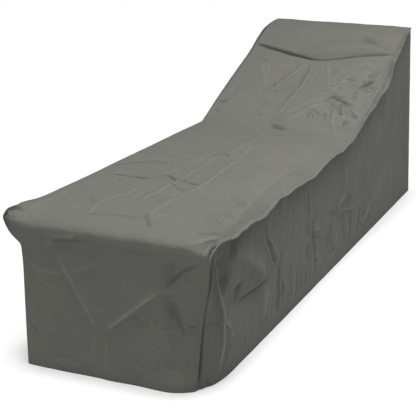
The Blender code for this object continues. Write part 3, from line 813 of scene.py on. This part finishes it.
def addObject(name, data):
    # an object that shows this mesh, lamp or camera
    added = bpy.data.objects.new(name, data)
    bpy.context.collection.objects.link(added)
    return added


def closedSheet(name, points, places, line):
    # The outer face is the grid. The inner one has every second row and column of it, moved in along the
    # normal by the thickness and by as much as its straighter cells would stand out of the outer troughs.
    outward = outwardOf(points)
    outer = points - np.array(cloth["origin"])
    middles = outer.copy()
    middles[1::2] = 0.5 * (middles[:-2:2] + middles[2::2])
    middles[:, 1::2] = 0.5 * (middles[:, :-2:2] + middles[:, 2::2])
    poking = np.pad(np.maximum(np.sum((middles - outer) * outward, axis=-1), 0.0), 1)
    windows = np.lib.stride_tricks.sliding_window_view(poking, (3, 3))[::2, ::2]
    depth = cloth["thickness"] + windows.max(axis=(-2, -1))
    inner = outer[::2, ::2] - outward[::2, ::2] * depth[..., None]
    inner[..., 2] = np.where(outer[::2, ::2, 2] < 1e-6, 0.0, np.maximum(inner[..., 2], 0.0))

    index = np.arange(outer[..., 0].size).reshape(outer.shape[:2])
    behind = index.size + np.arange(inner[..., 0].size).reshape(inner.shape[:2])
    outside = [index[:-1, :-1], index[:-1, 1:], index[1:, 1:], index[1:, :-1]]
    inside = [behind[:-1, :-1], behind[1:, :-1], behind[1:, 1:], behind[:-1, 1:]]
    rim = np.concatenate([index[0, :-1], index[:-1, -1], index[-1, :0:-1], index[:0:-1, 0]])
    rimBehind = np.concatenate([behind[0, :-1], behind[:-1, -1], behind[-1, :0:-1], behind[:0:-1, 0]])
    around = [np.roll(rim, -2)[::2], np.roll(rim, -1)[::2], rim[::2], rimBehind, np.roll(rimBehind, -1)]
    faces = []
    for corners in (outside, inside, around):
        faces += np.stack(corners, -1).reshape(-1, len(corners)).tolist()

    mesh = bpy.data.meshes.new(name)
    mesh.from_pydata(np.concatenate([outer.reshape(-1, 3), inner.reshape(-1, 3)]), [], faces)
    ofLoop = np.empty(len(mesh.loops), dtype=np.int32)
    mesh.loops.foreach_get("vertex_index", ofLoop)
    flat = np.concatenate([places.reshape(-1, 2), places[::2, ::2].reshape(-1, 2)])
    mesh.uv_layers.new(name="clothMetres").data.foreach_set("uv", flat[ofLoop].ravel())
    for column, attribute in enumerate(("creaseAway", "creaseSize")):
        values = np.concatenate([line[..., column].ravel(), np.zeros(inner[..., 0].size)])
        mesh.attributes.new(attribute, "FLOAT", "POINT").data.foreach_set("value", values)
    mesh.shade_smooth()
    mesh.update()
    return addObject(name, mesh)


def linear(hexColour):
    # sRGB to linear: c / 12.92 below 0.04045, else ((c + 0.055) / 1.055) ^ 2.4
    channels = np.array([int(hexColour[i : i + 2], 16) for i in (1, 3, 5)]) / 255.0
    bright = np.where(channels <= 0.04045, channels / 12.92, ((channels + 0.055) / 1.055) ** 2.4)
    return (*bright.tolist(), 1.0)


def addNode(tree, kind, settings=None, values=None, links=None):
    # a node with its settings, socket values and incoming links
    node = tree.nodes.new(kind)
    for key, value in (settings or {}).items():
        setattr(node, key, value)
    for key, value in (values or {}).items():
        node.inputs[key].default_value = value
    for key, source in (links or {}).items():
        tree.links.new(source, node.inputs[key])
    return node


coatedPolyester = {
    "colour": "#595955",
    "paler": "#5f5f5a",
    # crease ridges are mixed towards this paler colour: partly the folded coating's own paleness, partly
    # painted highlight
    "pressedAndHighlit": "#83837c",
    "pressedAndHighlitShare": 0.24,  # how far the line of a full ridge goes to that colour
    # painted shade: crease troughs are mixed towards this darker colour
    "paintedTroughShade": "#3a3a37",
    "paintedTroughShadeShare": 0.30,  # and the line of a full trough to that one
    "shader": {"Roughness": 0.8, "Metallic": 0.0, "IOR": 1.45, "Specular IOR Level": 0.2},
    "patches": {"Scale": 5.0, "Detail": 3.0},
    "crumples": {"Scale": 26.0, "Detail": 4.0, "Roughness": 0.55},
    "crumpleBump": {"Strength": 1.0, "Distance": 0.006},
    "lineBump": {"Strength": 0.8, "Distance": 0.0026},
    "weaveBump": {"Strength": 0.25, "Distance": 0.0004},
    "threadPitch": 0.0022,  # real threads lie 0.5 mm apart; drawn wider so that a near view shows them
    "waveLength": 0.314159,  # of a wave texture's band at scale 1
}


def coatedPolyesterCloth():
    # Woven polyester with a coating on its back: a matt grey-green cloth with a faint silky light on its
    # ribs and small crumples left by folding. Along crease ridges the colour goes paler, partly the folded
    # coating's own paleness and partly painted highlight; in crease troughs it goes darker, which is painted
    # shade.
    material = bpy.data.materials.new("coatedPolyesterCloth")
    material.use_nodes = True
    tree = material.node_tree
    shader = tree.nodes["Principled BSDF"]
    for socket, value in coatedPolyester["shader"].items():
        shader.inputs[socket].default_value = value
    place = {"Vector": addNode(tree, "ShaderNodeTexCoord").outputs["Object"]}
    patches = addNode(tree, "ShaderNodeTexNoise", values=coatedPolyester["patches"], links=place)
    tones = {6: linear(coatedPolyester["colour"]), 7: linear(coatedPolyester["paler"])}
    colour = addNode(tree, "ShaderNodeMix", {"data_type": "RGBA"}, tones, {0: patches.outputs["Fac"]})

    # the crease's line: e to the minus (distance / line width) squared, times the crease's height
    away = addNode(tree, "ShaderNodeAttribute", {"attribute_name": "creaseAway"}).outputs["Fac"]
    size = addNode(tree, "ShaderNodeAttribute", {"attribute_name": "creaseSize"}).outputs["Fac"]
    power = away
    for operation, value in (("DIVIDE", crease["lineWidth"]), ("POWER", 2.0), ("MULTIPLY", -1.0)):
        node = addNode(tree, "ShaderNodeMath", {"operation": operation}, {1: value}, {0: power})
        power = node.outputs["Value"]
    peak = addNode(tree, "ShaderNodeMath", {"operation": "EXPONENT"}, links={0: power}).outputs["Value"]
    links = {0: peak, 1: size}
    line = addNode(tree, "ShaderNodeMath", {"operation": "MULTIPLY"}, links=links).outputs["Value"]
    clamped = {"operation": "MULTIPLY", "use_clamp": True}
    # ridges go paler, partly the folded coating's own paleness and partly painted highlight; troughs go
    # darker, which is painted shade
    for tone, sign in (("pressedAndHighlit", 1.0), ("paintedTroughShade", -1.0)):
        factor = {1: sign * coatedPolyester[tone + "Share"]}
        share = addNode(tree, "ShaderNodeMath", clamped, factor, {0: line}).outputs["Value"]
        tones = {7: linear(coatedPolyester[tone])}
        links = {0: share, 6: colour.outputs[2]}
        colour = addNode(tree, "ShaderNodeMix", {"data_type": "RGBA"}, tones, links)
    tree.links.new(colour.outputs[2], shader.inputs["Base Color"])

    crumples = addNode(tree, "ShaderNodeTexNoise", values=coatedPolyester["crumples"], links=place)
    metres = addNode(tree, "ShaderNodeUVMap", {"uv_map": "clothMetres"}).outputs["UV"]
    scale = {"Scale": coatedPolyester["waveLength"] / coatedPolyester["threadPitch"]}
    threads = {}
    for socket, direction in enumerate("XY"):
        ribs = addNode(tree, "ShaderNodeTexWave", {"bands_direction": direction}, scale, {"Vector": metres})
        threads[socket] = ribs.outputs["Fac"]
    weave = addNode(tree, "ShaderNodeMath", {"operation": "MULTIPLY"}, links=threads)
    links = {}
    heights = {"crumpleBump": crumples.outputs["Fac"], "lineBump": line, "weaveBump": weave.outputs["Value"]}
    for bump, height in heights.items():
        links["Height"] = height
        normal = addNode(tree, "ShaderNodeBump", values=coatedPolyester[bump], links=links).outputs["Normal"]
        links["Normal"] = normal
    tree.links.new(normal, shader.inputs["Normal"])
    return material


print("making the cloth panels")
tables = ("Hem", "SoftFolds", "Creases", "Seed")
right = sidePanelPoints(1.0, *(sidePanel["right" + table] for table in tables))
left = sidePanelPoints(-1.0, *(sidePanel["left" + table] for table in tables))
panels = {
    "top_panel": topPanelPoints(),
    "side_panel_right": right,
    "side_panel_left": tuple(part[:, ::-1] for part in left),
    "back_panel": backPanelPoints(left[0], right[0]),
}

clothMaterial = coatedPolyesterCloth()
# each panel becomes a closed sheet of cloth with the cloth's material, hangs under the root and hides the
# part it stands for; its number of triangles is printed
for node, (points, places, line) in panels.items():
    piece = closedSheet(node.replace("panel", "cloth"), points, places, line)
    piece.data.materials.append(clothMaterial)
    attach(piece, "root")
    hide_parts(node)
    print(piece.name, len(piece.data.loops) - 2 * len(piece.data.polygons), "triangles")

print("floor, light and camera")
studio = {
    "floor": "#cecece",
    "floorHalf": 40.0,
    "floorDrop": 0.0004,  # the floor lies this far below the hem
    "floorRoughness": 0.9,
    # towards each distant softbox, its power and its spread in radians
    "distant": (
        ((0.02, -0.03, 1.0), 3.45, 0.5),
        ((0.55, -0.35, 1.0), 0.45, 0.5),
        ((-0.5, -1.0, 0.5), 0.68, 0.4),
    ),
    # place of each near softbox and its power in watts
    "near": (((0.8, -0.45, 1.9), 6.6), ((1.0, 0.4, 1.7), 9.4), ((0.2, -1.2, 2.0), 6.4)),
    "nearSize": 1.0,
    # The sky: pale near the floor's edge, and dim above, so that upright cloth gets little light.
    "sky": {"From Min": 0.17, "From Max": 0.30, "To Min": 1.0, "To Max": 0.0},
}

half, drop = studio["floorHalf"], studio["floorDrop"]
floorCorners = [(-half, -half, -drop), (half, -half, -drop), (half, half, -drop), (-half, half, -drop)]
floorMesh = bpy.data.meshes.new("floor")
floorMesh.from_pydata(floorCorners, [], [(0, 1, 2, 3)])
floor = addObject("floor", floorMesh)
paper = bpy.data.materials.new("whitePaper")  # matt white paper, seen as plain white under these lights
paper.use_nodes = True
paper.node_tree.nodes["Principled BSDF"].inputs["Base Color"].default_value = linear(studio["floor"])
paper.node_tree.nodes["Principled BSDF"].inputs["Roughness"].default_value = studio["floorRoughness"]
floorMesh.materials.append(paper)

for towards, power, spread in studio["distant"]:
    lamp = bpy.data.lights.new("distantSoftbox", "SUN")
    lamp.energy = power
    lamp.angle = spread
    turned = addObject("distantSoftbox", lamp)
    turned.rotation_euler = Vector(towards).to_track_quat("Z", "Y").to_euler()
for place, power in studio["near"]:
    lamp = bpy.data.lights.new("nearSoftbox", "AREA")
    lamp.energy = power
    lamp.size = studio["nearSize"]
    addObject("nearSoftbox", lamp).location = place

world = bpy.data.worlds.new("studio")
world.use_nodes = True
bpy.context.scene.world = world
tree = world.node_tree
direction = addNode(tree, "ShaderNodeTexCoord")
height = addNode(tree, "ShaderNodeSeparateXYZ", links={0: direction.outputs["Generated"]})
dim = addNode(tree, "ShaderNodeMapRange", values=studio["sky"], links={"Value": height.outputs["Z"]})
tree.links.new(dim.outputs["Result"], tree.nodes["Background"].inputs["Strength"])
tree.nodes["Background"].inputs["Color"].default_value = (1.0, 1.0, 1.0, 1.0)

yaw, pitch, roll = view["yaw"], view["pitch"], view["roll"]
ahead = np.array([np.sin(yaw) * np.cos(pitch), np.cos(yaw) * np.cos(pitch), np.sin(pitch)])
level = np.array([np.cos(yaw), -np.sin(yaw), 0.0])
above = np.cross(level, ahead)
sideways = np.cos(roll) * level + np.sin(roll) * above
upwards = -np.sin(roll) * level + np.cos(roll) * above
camera = bpy.data.cameras.new("camera")
camera.lens = view["lens"]
camera.sensor_width = view["sensor"]
camera.clip_end = view["farthest"]
cameraObject = addObject("camera", camera)
turn = np.column_stack([sideways, upwards, -ahead, view["place"]])
cameraObject.matrix_world = Matrix([*turn.tolist(), (0.0, 0.0, 0.0, 1.0)])
bpy.context.scene.camera = cameraObject
bpy.context.scene.view_settings.view_transform = "Standard"
bpy.context.scene.view_settings.look = "Medium High Contrast"

print("done")
